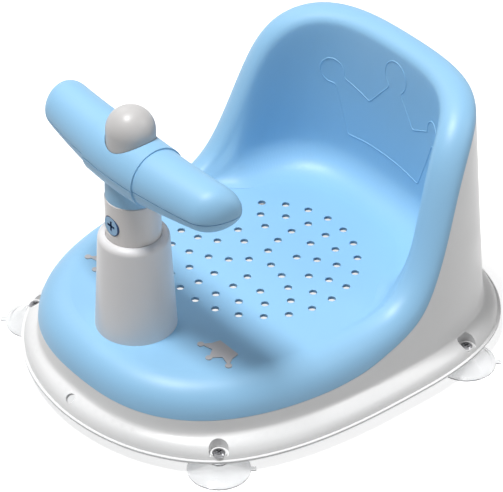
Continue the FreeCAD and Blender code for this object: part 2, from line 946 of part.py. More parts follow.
def grip_sections(thinner):
    """Sections of the right grip from the hub to its rounded end."""
    start = size("hub_half") + thinner
    end = size("bar_half") - thinner
    cap = size("grip_cap") - thinner
    stations = []
    for share in GRIP_LENGTH_SHARES:
        x = blend(start, end - cap, share)
        stations.append((x, grip_radius(x) - thinner, grip_under(x), 0))
    for share in GRIP_ROUND_SHARES:
        x = end - cap + cap * share
        full = grip_radius(x) - thinner
        tip = max(1 - share ** size("grip_power"), 0) ** (1 / size("grip_power"))
        radius = full * max(tip, GRIP_TIP_SHARE)
        back = (full - radius) * size("grip_tip_back")
        stations.append((x, radius, grip_under(x), back))
    return stations


def grip_under(x):
    """Fullness of a grip's underside, less towards the end."""
    share = (abs(x) - size("hub_half")) / size("bar_half - hub_half")
    return blend(1, size("grip_under"), share)


def grip_radius(x):
    """Outer radius of a grip at a distance from the middle."""
    share = (abs(x) - size("hub_half")) / size("bar_half - hub_half")
    return blend(size("grip_root_radius"), size("grip_end_radius"), share)


def halves(shape):
    """Upper and lower half of a bar piece, cut at the parting plane."""
    reach = size("flange_width")
    level = size("bar_height - parting_drop")
    block = Part.makeBox(
        reach * 2, reach * 2, reach, Vector(-reach, size("post_y") - reach, level))
    return shape.common(block), shape.cut(block)


def parting_groove(sections, closed_end):
    """Shallow groove in a bar piece's outer skin, just below the parting plane."""
    deep = size("groove_deep")
    length = sections[-1][0] - sections[0][0]
    shorter = 1 - deep / length if closed_end else 1
    sunk = [
        (sections[0][0] + (x - sections[0][0]) * shorter, radius - deep, under, back)
        for x, radius, under, back in sections]
    reach = size("flange_width")
    tall = size("groove_tall")
    slab = Part.makeBox(
        reach * 2, reach * 2, tall,
        Vector(-reach, size("post_y") - reach, size("bar_height - parting_drop") - tall))
    return bar_solid(sections).cut(bar_solid(sunk)).common(slab)


def make_grips():
    """Upper and lower shell of each grip, with a boss and a screw."""
    hub = size("hub_half")
    wall = size("bar_wall")
    gap = size("fit_gap")
    root = size("hub_end_radius") - wall - gap
    spigot = cross_cylinder(root, hub - size("spigot_length"), hub + wall)
    bore = cross_cylinder(root - wall, hub - size("spigot_length") - wall, hub + wall * 2)
    outer = bar_solid(grip_sections(0)).fuse(spigot)
    upper, lower = halves(outer.cut(bar_solid(grip_sections(wall))).cut(bore))
    x = size("guard_screw_grip_x")
    centre = bar_centre(x)
    radius = grip_radius(x)
    level = size("bar_height - parting_drop")
    post = cylinder_shape(
        size("boss_radius"), level, centre.z + radius - wall / 2, centre.x, centre.y)
    pillar = cylinder_shape(
        size("boss_radius"), centre.z - radius + wall / 2, level, centre.x, centre.y)
    head_seat = level - size("guard_screw_length / 2")
    pilot = cylinder_shape(
        size("screw_radius + thread_gap"), level - gap, level + size("guard_screw_length"),
        centre.x, centre.y)
    way = cylinder_shape(
        size("screw_radius + fit_gap"), centre.z - radius * 2, level + gap, centre.x, centre.y)
    mouth = cylinder_shape(
        size("screw_head_radius") + gap, centre.z - radius * 2, head_seat, centre.x, centre.y)
    sleeve = cylinder_shape(
        size("screw_head_radius") + wall / 2 + gap, centre.z - radius + wall / 2,
        head_seat + wall, centre.x, centre.y)
    upper = upper.fuse(post).cut(pilot)
    lower = lower.fuse([pillar, sleeve]).cut(way.fuse(mouth))
    lower = lower.cut(parting_groove(grip_sections(0), True))
    screw = screw_shape(
        centre.x, centre.y, head_seat - size("screw_head_tall"),
        size("guard_screw_length"), True)
    keep(shaped("GripUpperRight", upper), "grip_right_upper")
    keep(shaped("GripLowerRight", lower), "grip_right_lower")
    keep(shaped("GripUpperLeft", mirrored(upper)), "grip_left_upper")
    keep(shaped("GripLowerLeft", mirrored(lower)), "grip_left_lower")
    return [screw, mirrored(screw)]


def mirrored(shape):
    """The same shape on the other side of the middle plane."""
    return shape.mirror(Vector(0, 0, 0), Vector(1, 0, 0))


def hub_sections(thinner):
    """Sections of the round sleeve in the middle of the bar."""
    stations = []
    for share in HUB_SHARES:
        radius = blend(size("hub_radius"), size("hub_end_radius"), share * share)
        stations.append((share * size("hub_half"), radius - thinner, 1, 0))
    return stations


def make_hub():
    """Upper and lower hub shells, with the bead's well and the neck."""
    wall = size("bar_wall")
    gap = size("fit_gap")
    y = size("post_y")
    level = size("bar_height - parting_drop")
    outer = bar_solid(hub_sections(0))
    inner = bar_solid(hub_sections(wall))
    upper, lower = halves(outer.cut(inner))
    well = size("bead_skirt") + gap
    floor = size("well_floor") - gap
    top = size("bar_height + hub_radius + overrun")
    cup = cylinder_shape(well + wall, floor - size("well_plate"), top, 0, y).common(outer)
    upper = upper.fuse(cup).cut(cylinder_shape(well, floor, top, 0, y))
    upper = upper.cut(cylinder_shape(
        size("spindle_radius") + size("thread_gap"), level, top, 0, y))
    neck_top = size("bar_height") - size("hub_radius") + wall
    neck = cylinder_shape(size("neck_radius"), size("collar_top"), level, 0, y).cut(inner)
    spigot_radius = size("collar_bore") - gap
    spigot = cylinder_shape(spigot_radius, size("neck_low"), neck_top + wall, 0, y)
    bore_radius = spigot_radius - size("neck_wall")
    bore = cylinder_shape(bore_radius, size("neck_low") - wall, neck_top - wall, 0, y)
    boss = Part.makeCylinder(
        size("lock_shank_radius + neck_wall"), spigot_radius - gap,
        Vector(0, y, size("lock_height")), Vector(0, -1, 0))
    boss = boss.common(cylinder_shape(spigot_radius, size("neck_low"), neck_top, 0, y))
    thread = Part.makeCylinder(
        size("lock_shank_radius + thread_gap"), size("overrun * 3 + lock_shank_radius"),
        Vector(0, y - size("lock_face - lock_head_tall - lock_shank_length") + gap,
               size("lock_height")), Vector(0, -1, 0))
    lower = lower.fuse([neck, spigot]).cut(bore).fuse(boss).cut(thread)
    screws = []
    for side in (-1, 1):
        x = side * size("guard_screw_hub_x")
        centre = bar_centre(x)
        radius = size("hub_radius")
        head_seat = level - size("guard_screw_length / 2")
        post = cylinder_shape(
            size("boss_radius"), level, floor - size("well_plate / 2"), centre.x, centre.y)
        pillar = cylinder_shape(
            size("screw_head_radius") + wall / 2 + gap, neck_top - wall / 2, level,
            centre.x, centre.y)
        way = cylinder_shape(
            size("screw_radius + fit_gap"), neck_top - wall * 2, level + gap,
            centre.x, centre.y)
        mouth = cylinder_shape(
            size("screw_head_radius") + gap, neck_top - wall * 2, head_seat,
            centre.x, centre.y)
        pilot = cylinder_shape(
            size("screw_radius + thread_gap"), level - gap,
            level + size("guard_screw_length * 0.6"), centre.x, centre.y)
        upper = upper.fuse(post).cut(pilot)
        lower = lower.fuse(pillar).cut(way.fuse(mouth))
        screws.append(screw_shape(
            centre.x, centre.y, head_seat - size("screw_head_tall"),
            size("guard_screw_length"), True))
    lower = lower.cut(parting_groove(hub_sections(0), False))
    keep(shaped("HubUpper", upper), "hub_upper")
    keep(shaped("HubLower", lower), "hub_lower")
    return screws


def make_guard():
    """Hub, grips and the screws that close their shells."""
    screws = make_hub() + make_grips()
    return keep(shaped("GuardScrews", Part.makeCompound(screws)), "guard_screws")


def make_bead():
    """Hollow bead with a domed top and a tube inside that turns on the spindle."""
    y = size("post_y")
    radius = size("bead_radius")
    skirt = size("bead_skirt")
    centre = size("bead_centre")
    low = size("well_floor")

    def solid_bead(thinner, bottom):
        dome_start = Vector(radius - thinner, 0, centre)
        dome_end = Vector(0, 0, centre + radius - thinner)
        middle_turn = math.pi / 4
        dome_middle = Vector(
            (radius - thinner) * math.cos(middle_turn), 0,
            centre + (radius - thinner) * math.sin(middle_turn))
        side = Part.BSplineCurve()
        side.buildFromPoles([
            Vector(skirt - thinner, 0, bottom),
            Vector(blend(skirt, radius, 0.7) - thinner, 0, blend(bottom, centre, 0.4)),
            Vector(radius - thinner, 0, blend(bottom, centre, 0.75)),
            dome_start])
        edges = [
            Part.LineSegment(Vector(0, 0, bottom), Vector(skirt - thinner, 0, bottom)).toShape(),
            side.toShape(),
            Part.Arc(dome_start, dome_middle, dome_end).toShape(),
            Part.LineSegment(dome_end, Vector(0, 0, bottom)).toShape(),
        ]
        return Part.Face(Part.Wire(edges)).revolve(Vector(0, 0, 0), Vector(0, 0, 1), 360)

    shell = solid_bead(0, low).cut(solid_bead(size("bead_wall"), low - size("overrun")))
    tube = cylinder_shape(size("bead_boss_radius"), low, centre + radius, 0, 0)
    shell = shell.fuse(tube.common(solid_bead(0, low)))
    shell = shell.cut(cylinder_shape(
        size("spindle_radius + running_gap"), low - size("overrun"),
        size("spindle_top + fit_gap"), 0, 0))
    shell.translate(Vector(0, y, 0))
    return keep(shaped("Bead", shell), "bead")


def make_bead_spindle():
    """Pin that the bead turns on, its head under the floor of the well."""
    plate = "well_floor - fit_gap - well_plate"
    return keep(turned_body("BeadSpindle", [
        ("0", plate + " - spindle_head_tall"),
        ("spindle_head", plate + " - spindle_head_tall"),
        ("spindle_head", plate),
        ("spindle_radius", plate),
        ("spindle_radius", "spindle_top - spindle_radius / 3"),
        ("spindle_radius * 2 / 3", "spindle_top"),
        ("0", "spindle_top"),
    ], y="post_y"), "bead_spindle")


def make_suction_cup(word, middle):
    """Clear suction cup with its stem and a small pull tab."""
    stem_top = "flange_low"
    body = turned_body("Cup_" + word, [
        ("0", "cup_crown / 2"),
        ("cup_radius * 0.35", "cup_crown / 2 - cup_wall / 4"),
        ("cup_radius * 0.75", "cup_wall"),
        ("cup_radius - cup_wall * 2", "0"),
        ("cup_radius", "0"),
        ("cup_radius", "cup_wall * 0.6"),
        ("cup_radius * 0.8", "cup_wall * 2"),
        ("cup_radius * 0.45", "cup_crown"),
        ("cup_stem_radius", "cup_crown"),
        ("cup_stem_radius", stem_top),
        ("0", stem_top),
    ])
    tab = box(
        "CupTab_" + word, "cup_tab_reach * 2", "cup_tab_width", "cup_wall * 0.6",
        x="cup_radius")
    bore = cylinder(
        "CupBore_" + word, "cup_screw_radius + thread_gap", "cup_screw_length",
        z="recess_floor - cup_screw_length")
    pocket = cylinder(
        "CupPocket_" + word, "cup_nut_radius + thread_gap * 2", "cup_nut_tall",
        z="cup_nut_low")
    whole = fuse("CupWhole_" + word, [body, tab])
    cup = cut("SuctionCup_" + word, whole, [bore, pocket])
    cup.Placement.Rotation = FreeCAD.Rotation(Vector(0, 0, 1), CUP_TAB_TURNS[word])
    place(cup, "{:.6f}".format(middle.x), "{:.6f}".format(middle.y), "0")
    return keep(cup, "suction_cup_" + word)


def make_cup_fasteners():
    """Chrome screws through the flange and the nuts inside the cup stems."""
    screws = []
    nuts = []
    floor = size("recess_floor")
    for x, y, ground in cup_places().values():
        brow = size("cup_screw_head_tall / 2")
        head = cylinder_shape(size("cup_screw_head"), floor, floor + brow, x, y)
        head = head.fuse(Part.makeCone(
            size("cup_screw_head"), size("cup_screw_head") - brow,
            size("cup_screw_head_tall") - brow, Vector(x, y, floor + brow)))
        shank = cylinder_shape(
            size("cup_screw_radius"), floor - size("cup_screw_length"), floor, x, y)
        screw = head.fuse(shank)
        for turn in (0, 90):
            slot = Part.makeBox(
                size("cup_screw_head * 1.1"), size("cup_screw_head / 4"), size("overrun"),
                Vector(-size("cup_screw_head * 0.55"), -size("cup_screw_head / 8"), 0))
            slot.rotate(Vector(0, 0, 0), Vector(0, 0, 1), turn)
            slot.translate(Vector(x, y, floor + size("cup_screw_head_tall / 3")))
            screw = screw.cut(slot)
        screws.append(screw)
        corners = []
        for corner in range(7):
            turn = math.pi / 3 * corner
            corners.append(Vector(
                x + size("cup_nut_radius") * math.cos(turn),
                y + size("cup_nut_radius") * math.sin(turn), size("cup_nut_low")))
        nut = Part.Face(Part.makePolygon(corners)).extrude(Vector(0, 0, size("cup_nut_tall")))
        nut = nut.cut(cylinder_shape(
            size("cup_screw_radius + thread_gap"), 0, floor, x, y))
        nuts.append(nut)
    keep(shaped("CupScrews", Part.makeCompound(screws)), "cup_screws")
    keep(shaped("CupNuts", Part.makeCompound(nuts)), "cup_nuts")


def make_hidden_screws():
    """Screws that hold the post and the seat from below."""
    floor = size("floor_top - seat_wall")
    post = []
    for radius, turn in post_screw_places():
        post.append(screw_shape(
            radius * math.cos(turn), size("post_y") + radius * math.sin(turn),
            floor - size("screw_head_tall"), size("post_screw_length"), True))
    keep(shaped("PostScrews", Part.makeCompound(post)), "post_screws")
    seat = []
    for middle, turn in ear_places():
        seat.append(screw_shape(
            middle.x, middle.y, middle.z - size("skirt_wall + screw_head_tall"),
            size("seat_screw_length"), True))
    keep(shaped("SeatScrews", Part.makeCompound(seat)), "seat_screws")


def make_crown_pad(side, word):
    """Plain three-point crown on the floor, ball tips towards the front."""
    width = size("crown_width")
    base = size("crown_base_y")
    reach = size("crown_tip_y") - base
    ball = size("crown_ball")
    x = side * size("crown_x")
    low = size("floor_top")
    right = [(share * width, base + reach * depth) for share, depth in CROWN_SHARES]
    left = [(-across, along) for across, along in reversed(right[:-1])]
    corners = [Vector(x + across, along, low) for across, along in right + left]
    corners.append(corners[0])
    tall = size("crown_tall")
    pad = Part.Face(Part.makePolygon(corners)).extrude(Vector(0, 0, tall))
    tips = [right[2], right[4], left[1]]
    for across, along in tips:
        pad = pad.fuse(cylinder_shape(ball, low, low + tall, x + across, along))
    pad = pad.removeSplitter()
    return keep(shaped("CrownPad" + word, pad), "crown_pad_" + word)


def check_and_write():
    """Stop on any failed object, then write one file for each sub-part."""
    doc.recompute()
    for item in doc.Objects:
        if "Invalid" in item.State or "Error" in item.State:
            raise RuntimeError("{} is {}".format(item.Name, item.State))
    os.makedirs("parts", exist_ok=True)
    for label, item in sorted(PARTS.items()):
        shape = item.Shape
        if shape.isNull() or not shape.isValid() or not shape.Solids:
            raise RuntimeError("{} has no valid solid".format(label))
        shape.exportStep("parts/{}.step".format(label))
        print("{}: {} solids, {:.0f} mm3".format(label, len(shape.Solids), shape.Volume))


make_seat_shell()
make_base_shell()
make_post_cone()
make_post_collar()
make_lock_screw()
make_guard()
make_bead()
make_bead_spindle()
for cup_word, cup_middle in cup_places().items():
    make_suction_cup(cup_word, cup_middle)
make_cup_fasteners()
make_hidden_screws()
make_crown_pad(-1, "left")
make_crown_pad(1, "right")
check_and_write()
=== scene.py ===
"""Looks of a baby bath seat, laid over its packed construction.

The seat's own frame is kept: origin on the ground below the middle of the
skirt, +X to the right seen from the front, +Y towards the backrest, +Z up.
"""
import logging
import math
from dataclasses import dataclass, field
from enum import Enum
from typing import Protocol, Sequence, Union

import bmesh
import bpy
from mathutils import Matrix, Vector
from mathutils.bvhtree import BVHTree


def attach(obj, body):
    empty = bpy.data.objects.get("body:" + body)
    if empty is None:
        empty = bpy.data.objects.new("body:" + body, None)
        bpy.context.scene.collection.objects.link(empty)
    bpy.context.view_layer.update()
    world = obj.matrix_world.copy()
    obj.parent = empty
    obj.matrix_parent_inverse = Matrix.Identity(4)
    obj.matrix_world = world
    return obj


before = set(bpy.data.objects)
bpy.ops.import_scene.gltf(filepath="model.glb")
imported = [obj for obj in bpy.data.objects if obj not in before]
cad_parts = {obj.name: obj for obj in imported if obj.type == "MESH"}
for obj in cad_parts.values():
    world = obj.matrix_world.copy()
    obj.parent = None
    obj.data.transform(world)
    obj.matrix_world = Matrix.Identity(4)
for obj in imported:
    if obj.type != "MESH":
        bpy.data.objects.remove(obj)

LOG = logging.getLogger("bath_seat")
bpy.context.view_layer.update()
MM = 0.001

Colour = tuple[float, float, float]
Place = tuple[float, float, float]
Node = bpy.types.Node
Socket = bpy.types.NodeSocket
Source = Union[float, Sequence[float], bpy.types.NodeSocket]
Mesh = bpy.types.Mesh
Piece = bpy.types.Object


class Body(Enum):
    """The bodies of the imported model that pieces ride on."""

    SEAT = "seat"
    GUARD = "guard"
    BEAD = "bead"


class Side(Enum):
    """Left and right seen from the front."""

    LEFT = "left"
    RIGHT = "right"


class Shading(Enum):
    """How the faces of a piece meet in its shading, as the sharpest smoothed angle."""

    MOULDED = math.radians(32)
    TURNED = math.radians(40)
    SOFT = math.radians(60)


class Tree:
    """A shader node tree that is written from left to right."""

    column_width = 190
    mix_share = 0
    mix_first = 6
    mix_second = 7
    mix_result = 2

    def __init__(self, tree: bpy.types.NodeTree) -> None:
        """Keeps the tree that nodes are added to."""
        self.tree = tree
        self.column = 0

    def add(self, kind: str, **settings: object) -> Node:
        """Adds a node.

        Args:
            kind: Blender's name of the node's type.
            settings: Properties of the node to set.

        Returns:
            The new node.
        """
        node = self.tree.nodes.new(kind)
        node.location = (self.column * self.column_width, 0)
        self.column += 1
        for name, value in settings.items():
            setattr(node, name, value)
        return node

    def put(self, socket: Socket, source: Source) -> None:
        """Sets or links one input.

        Args:
            socket: The input.
            source: A value or another node's output.
        """
        if isinstance(source, bpy.types.NodeSocket):
            self.tree.links.new(source, socket)
        else:
            socket.default_value = source

    def feed(self, node: Node, **sources: Source) -> Node:
        """Sets or links inputs of a node by name, with underscores for spaces.

        Args:
            node: The node that is fed.
            sources: A value or another node's output for each input.

        Returns:
            The same node.
        """
        for name, source in sources.items():
            self.put(node.inputs[name.replace("_", " ")], source)
        return node

    def number(self, operation: str, *terms: Source, clamp: bool = False) -> Socket:
        """Does one step of arithmetic on numbers.

        Args:
            operation: Blender's name of the operation.
            terms: Up to three values or outputs.
            clamp: Whether the result stays between 0 and 1.

        Returns:
            The output with the result.
        """
        node = self.add("ShaderNodeMath", operation=operation, use_clamp=clamp)
        for index, term in enumerate(terms):
            self.put(node.inputs[index], term)
        return node.outputs[0]

    def mix(self, share: Source, first: Source, second: Source) -> Socket:
        """Mixes two colours.

        Args:
            share: Value or output that says how much of the second shows.
            first: Colour or output.
            second: Colour or output.

        Returns:
            The output with the mixed colour.
        """
        node = self.add("ShaderNodeMix", data_type="RGBA")
        self.put(node.inputs[self.mix_share], share)
        self.put(node.inputs[self.mix_first], first)
        self.put(node.inputs[self.mix_second], second)
        return node.outputs[self.mix_result]

    def place(self) -> Socket:
        """Gives places in the piece's own frame, in metres."""
        return self.add("ShaderNodeTexCoord").outputs["Object"]

    def noise(self, place: Socket, scale: Source, detail: float,
              roughness: float = 0.5) -> Socket:
        """Reads a noise.

        Args:
            place: Output with the place that it is read at.
            scale: Cells in a metre.
            detail: Finer layers on top.
            roughness: Share of each finer layer.

        Returns:
            The output with the noise's value.
        """
        node = self.add("ShaderNodeTexNoise")
        self.feed(node, Vector=place, Scale=scale, Detail=detail, Roughness=roughness)
        return node.outputs[0]

    def stretch(self, source: Socket, low: float, high: float,
                new_low: Source = 0.0, new_high: Source = 1.0) -> Socket:
        """Maps a range of values onto another and cuts off what lies past it.

        Args:
            source: Output with the values.
            low: Value that becomes new_low.
            high: Value that becomes new_high.
            new_low: Start of the new range.
            new_high: End of the new range.

        Returns:
            The output with the mapped values.
        """
        node = self.add("ShaderNodeMapRange", clamp=True)
        self.feed(
            node, Value=source, From_Min=low, From_Max=high, To_Min=new_low, To_Max=new_high)
        return node.outputs[0]

    def bump(self, height: Socket, strength: float, distance: float) -> Socket:
        """Turns a height into a normal.

        Args:
            height: Output with the height as a share of the distance.
            strength: Share of the bump that shows.
            distance: Height of a full bump in metres.

        Returns:
            The output with the normal.
        """
        node = self.add("ShaderNodeBump")
        self.feed(node, Height=height, Strength=strength, Distance=distance)
        return node.outputs[0]

    def seen_strength(self, strength: float, otherwise: float = 0.0) -> Socket:
        """Gives a strength that only seen, mirrored and see-through rays meet.

        Args:
            strength: What those rays meet.
            otherwise: What other rays meet.

        Returns:
            The output with the strength.
        """
        path = self.add("ShaderNodeLightPath")
        seen = self.number(
            "MAXIMUM", path.outputs["Is Camera Ray"], path.outputs["Is Glossy Ray"])
        seen = self.number("MAXIMUM", seen, path.outputs["Is Transmission Ray"])
        scaled = self.number("MULTIPLY", seen, strength - otherwise)
        return self.number("ADD", scaled, otherwise)


def emptied(owner: Union[bpy.types.Material, bpy.types.World]) -> Tree:
    """Switches on the nodes of a material or world and clears them.

    Args:
        owner: The material or world.

    Returns:
        Its empty tree.
    """
    owner.use_nodes = True
    owner.node_tree.nodes.clear()
    return Tree(owner.node_tree)


def rgba(colour: Colour) -> tuple[float, float, float, float]:
    """Colour in scene values with full alpha."""
    return (*colour, 1.0)


def dimmed(colour: Colour, share: float) -> Colour:
    """The colour with each channel cut to a share of itself."""
    return tuple(share * channel for channel in colour)


class ScreenCurve:
    """The curve between a screen's values and light."""

    top = 255
    straight_end = 0.04045
    straight_slope = 12.92
    lift = 0.055
    power = 2.4

    @classmethod
    def light(cls, value: int) -> float:
        """Turns a channel from 0 to 255 into light from 0 to 1.

        Args:
            value: The channel as seen on a screen.

        Returns:
            The light.
        """
        share = value / cls.top
        if share <= cls.straight_end:
            return share / cls.straight_slope
        return ((share + cls.lift) / (1 + cls.lift)) ** cls.power


def from_screen(red: int, green: int, blue: int) -> Colour:
    """Turns a colour as seen on a screen into scene values."""
    return tuple(ScreenCurve.light(channel) for channel in (red, green, blue))


WHITE = rgba((1.0, 1.0, 1.0))


class Effect:
    """A shader node group with named inputs and outputs, built once."""

    title: str
    inputs: dict[str, tuple[str, object]]
    outputs: dict[str, str]

    @classmethod
    def group(cls) -> bpy.types.NodeTree:
        """Gives the group, and builds it the first time.

        Returns:
            The shader node group.
        """
        found = bpy.data.node_groups.get(cls.title)
        if found:
            return found
        made = bpy.data.node_groups.new(cls.title, "ShaderNodeTree")
        for name, (kind, value) in cls.inputs.items():
            socket = made.interface.new_socket(name, in_out="INPUT", socket_type=kind)
            socket.default_value = value
        for name, kind in cls.outputs.items():
            made.interface.new_socket(name, in_out="OUTPUT", socket_type=kind)
        tree = Tree(made)
        start = tree.add("NodeGroupInput")
        results = cls.wire(tree, start)
        tree.feed(tree.add("NodeGroupOutput"), **results)
        return made

    @classmethod
    def wire(cls, tree: Tree, start: Node) -> dict[str, Socket]:
        """Builds the group's inside and gives its outputs by name."""
        raise NotImplementedError

    @classmethod
    def use(cls, tree: Tree, **values: Source) -> Node:
        """Places the group in a material.

        Args:
            tree: The material's tree.
            values: A value or another node's output for each of the group's inputs.

        Returns:
            The group node.
        """
        node = tree.add("ShaderNodeGroup", node_tree=cls.group())
        return tree.feed(node, **values)


class ResinCloud(Effect):
    """Faint clouds of colour, as pigment leaves in a moulded resin."""

    title = "resin_cloud"
    inputs = {
        "Colour": ("NodeSocketColor", (0.5, 0.5, 0.5, 1)),
        "Deep": ("NodeSocketColor", (0.4, 0.4, 0.4, 1)),
        "Amount": ("NodeSocketFloat", 0.3),
        "Clouds": ("NodeSocketFloat", 14.0),
    }
    outputs = {"Colour": "NodeSocketColor"}
    thinnest = 0.3
    thickest = 0.7

    @classmethod
    def wire(cls, tree: Tree, start: Node) -> dict[str, Socket]:
        """Mixes the two colours by a broad noise.

        Args:
            tree: The group's tree.
            start: The node with the group's inputs.

        Returns:
            The group's outputs by name.
        """
        broad = tree.noise(tree.place(), start.outputs["Clouds"], detail=2.0)
        share = tree.stretch(broad, cls.thinnest, cls.thickest)
        share = tree.number("MULTIPLY", share, start.outputs["Amount"], clamp=True)
        return {"Colour": tree.mix(share, start.outputs["Colour"], start.outputs["Deep"])}


class MouldGrain(Effect):
    """Fine spark-eroded grain of a mould, with satin and glossier patches."""

    title = "mould_grain"
    inputs = {
        "Grain": ("NodeSocketFloat", 1500.0),
        "Depth": ("NodeSocketFloat", 0.5),
        "Smoothest": ("NodeSocketFloat", 0.25),
        "Roughest": ("NodeSocketFloat", 0.4),
    }
    outputs = {"Roughness": "NodeSocketFloat", "Height": "NodeSocketFloat"}
    patches = 38.0
    patch_low = 0.35
    patch_high = 0.65

    @classmethod
    def wire(cls, tree: Tree, start: Node) -> dict[str, Socket]:
        """Reads a fine noise for the height and a broad one for the gloss.

        Args:
            tree: The group's tree.
            start: The node with the group's inputs.

        Returns:
            The group's outputs by name.
        """
        place = tree.place()
        fine = tree.noise(place, start.outputs["Grain"], detail=2.0, roughness=0.6)
        patches = tree.noise(place, cls.patches, detail=3.0, roughness=0.55)
        gloss = tree.stretch(
            patches, cls.patch_low, cls.patch_high, start.outputs["Smoothest"],
            start.outputs["Roughest"])
        return {
            "Roughness": gloss,
            "Height": tree.number("MULTIPLY", fine, start.outputs["Depth"])}


class HandlingMarks(Effect):
    """Sparse hairline scuffs that dull the gloss a little."""

    title = "handling_marks"
    inputs = {
        "Roughness": ("NodeSocketFloat", 0.3),
        "Amount": ("NodeSocketFloat", 0.15),
        "Scale": ("NodeSocketFloat", 60.0),
    }
    outputs = {"Roughness": "NodeSocketFloat"}
    lean = 0.3
    strokes = ((0.5, (1.0, 60.0, 30.0)), (2.1, (50.0, 1.0, 40.0)))
    stroke_low = 0.70
    stroke_high = 0.76

    @classmethod
    def wire(cls, tree: Tree, start: Node) -> dict[str, Socket]:
        """Crosses two stretched noises into thin lines.

        Args:
            tree: The group's tree.
            start: The node with the group's inputs.

        Returns:
            The group's outputs by name.
        """
        place = tree.place()
        lines = []
        for turn, stretched in cls.strokes:
            mapping = tree.add("ShaderNodeMapping")
            tree.feed(mapping, Vector=place, Rotation=(cls.lean, turn, turn), Scale=stretched)
            noise = tree.noise(mapping.outputs[0], start.outputs["Scale"], detail=1.0)
            lines.append(tree.stretch(noise, cls.stroke_low, cls.stroke_high))
        mask = tree.number("MAXIMUM", *lines)
        extra = tree.number("MULTIPLY", mask, start.outputs["Amount"])
        rough = tree.number("ADD", start.outputs["Roughness"], extra, clamp=True)
        return {"Roughness": rough}


class TurnedLines(Effect):
    """Fine rings that a lathe or a drawing die leaves on a metal part."""

    title = "turned_lines"
    inputs = {
        "Rings": ("NodeSocketFloat", 900.0),
        "Smoothest": ("NodeSocketFloat", 0.12),
        "Roughest": ("NodeSocketFloat", 0.28),
    }
    outputs = {"Roughness": "NodeSocketFloat", "Height": "NodeSocketFloat"}

    @classmethod
    def wire(cls, tree: Tree, start: Node) -> dict[str, Socket]:
        """Reads a wave along Z that a noise breaks up.

        Args:
            tree: The group's tree.
            start: The node with the group's inputs.

        Returns:
            The group's outputs by name.
        """
        place = tree.place()
        wave = tree.add("ShaderNodeTexWave", bands_direction="Z")
        tree.feed(
            wave, Vector=place, Scale=start.outputs["Rings"], Distortion=2.0, Detail=2.0)
        height = wave.outputs["Fac"]
        rough = tree.stretch(
            height, 0.0, 1.0, start.outputs["Smoothest"], start.outputs["Roughest"])
        return {"Roughness": rough, "Height": height}


@dataclass(frozen=True)
class Finish:
    """A finish, whose material is built once."""

    title: str
    colour: Colour

    def material(self) -> bpy.types.Material:
        """Gives the finish's material, and builds it the first time.

        Returns:
            The material.
        """
        made = bpy.data.materials.get(self.title)
        if made:
            return made
        made = bpy.data.materials.new(self.title)
        tree = emptied(made)
        shader = self.shader(tree)
        tree.feed(tree.add("ShaderNodeOutputMaterial"), Surface=shader.outputs[0])
        made.diffuse_color = rgba(self.colour)
        return made

    def shader(self, tree: Tree) -> Node:
        """Builds the finish's shader in its material's tree."""
        raise NotImplementedError


@dataclass(frozen=True)
class Moulded(Finish):
    """Injection-moulded plastic: pigment clouds and mould grain."""

    deep: Colour
    smoothest: float
    roughest: float
    clouds: float = 0.25
    grain: float = 1500.0
    depth: float = 0.5
    bump: float = 0.02
    bump_high: float = 0.4 * MM
    ior: float = 1.49

    def shader(self, tree: Tree) -> Node:
        """Builds satin plastic.

        Args:
            tree: The material's tree.

        Returns:
            The shader node.
        """
        cloud = ResinCloud.use(
            tree, Colour=rgba(self.colour), Deep=rgba(self.deep), Amount=self.clouds)
        grain = MouldGrain.use(
            tree, Grain=self.grain, Depth=self.depth, Smoothest=self.smoothest,
            Roughest=self.roughest)
        normal = tree.bump(grain.outputs["Height"], self.bump, self.bump_high)
        return tree.feed(
            tree.add("ShaderNodeBsdfPrincipled"), Base_Color=cloud.outputs["Colour"],
            Roughness=grain.outputs["Roughness"], Normal=normal, IOR=self.ior)


@dataclass(frozen=True)
class ClearVinyl(Finish):
    """Clear soft plastic of the suction cups, faintly grey and slightly cloudy."""

    clearness: float = 0.82
    cloud_share: float = 0.93
    cloud_amount: float = 0.6
    clouds: float = 60.0
    grain: float = 260.0
    depth: float = 0.6
    smoothest: float = 0.05
    roughest: float = 0.16
    bump: float = 0.05
    bump_high: float = 0.6 * MM
    ior: float = 1.3

    def shader(self, tree: Tree) -> Node:
        """Builds clear plastic.

        Args:
            tree: The material's tree.

        Returns:
            The shader node.
        """
        cloud = ResinCloud.use(
            tree, Colour=rgba(self.colour), Deep=rgba(dimmed(self.colour, self.cloud_share)),
            Amount=self.cloud_amount, Clouds=self.clouds)
        grain = MouldGrain.use(
            tree, Grain=self.grain, Depth=self.depth, Smoothest=self.smoothest,
            Roughest=self.roughest)
        normal = tree.bump(grain.outputs["Height"], self.bump, self.bump_high)
        return tree.feed(
            tree.add("ShaderNodeBsdfPrincipled"), Base_Color=cloud.outputs["Colour"],
            Roughness=grain.outputs["Roughness"], Normal=normal, IOR=self.ior,
            Transmission_Weight=self.clearness)


